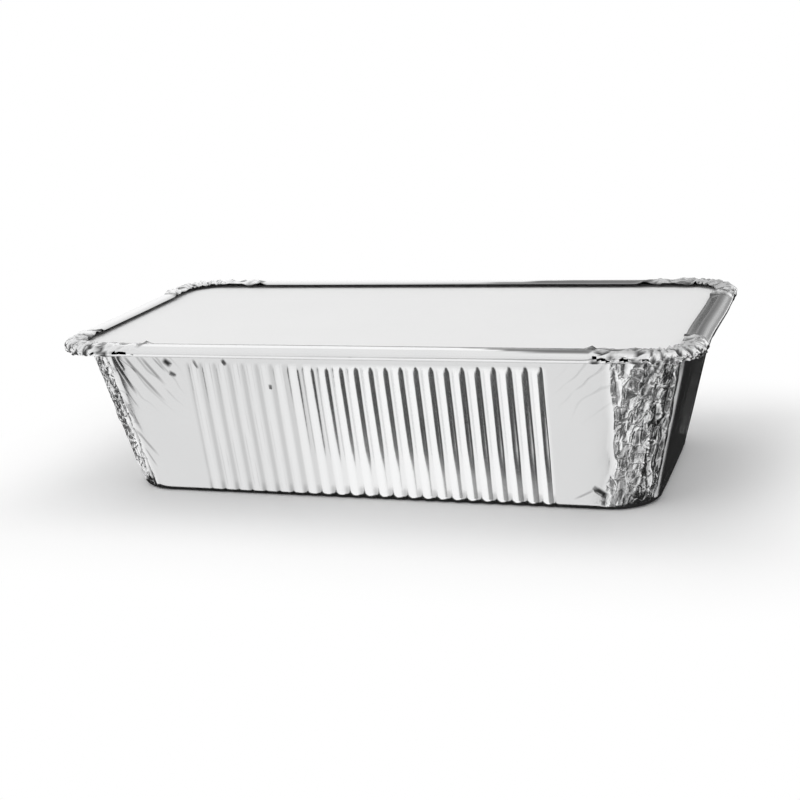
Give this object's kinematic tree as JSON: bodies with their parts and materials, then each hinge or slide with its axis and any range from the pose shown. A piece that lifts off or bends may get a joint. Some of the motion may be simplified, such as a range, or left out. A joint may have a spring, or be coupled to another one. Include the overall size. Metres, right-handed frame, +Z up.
{
  "type": "foil food container",
  "caption": "Oblong pressed aluminium foil tray with ribbed long walls, gathered corners and a rim folded over a flat white board lid; holds and carries a hot meal",
  "frame": {"origin": "centre of the base's underside, on the table plane", "axes": "+X along the container's length, +Y across its width, +Z up"},
  "size_m": [0.203, 0.103, 0.052],
  "materials": {
    "foil": "bright rolled foil, pressed and creased",
    "lid_board": "matte white coated board"
  },
  "bodies": {
    "root": {"foil_tray": "foil", "board_lid": "lid_board"}
  },
  "joints": []
}
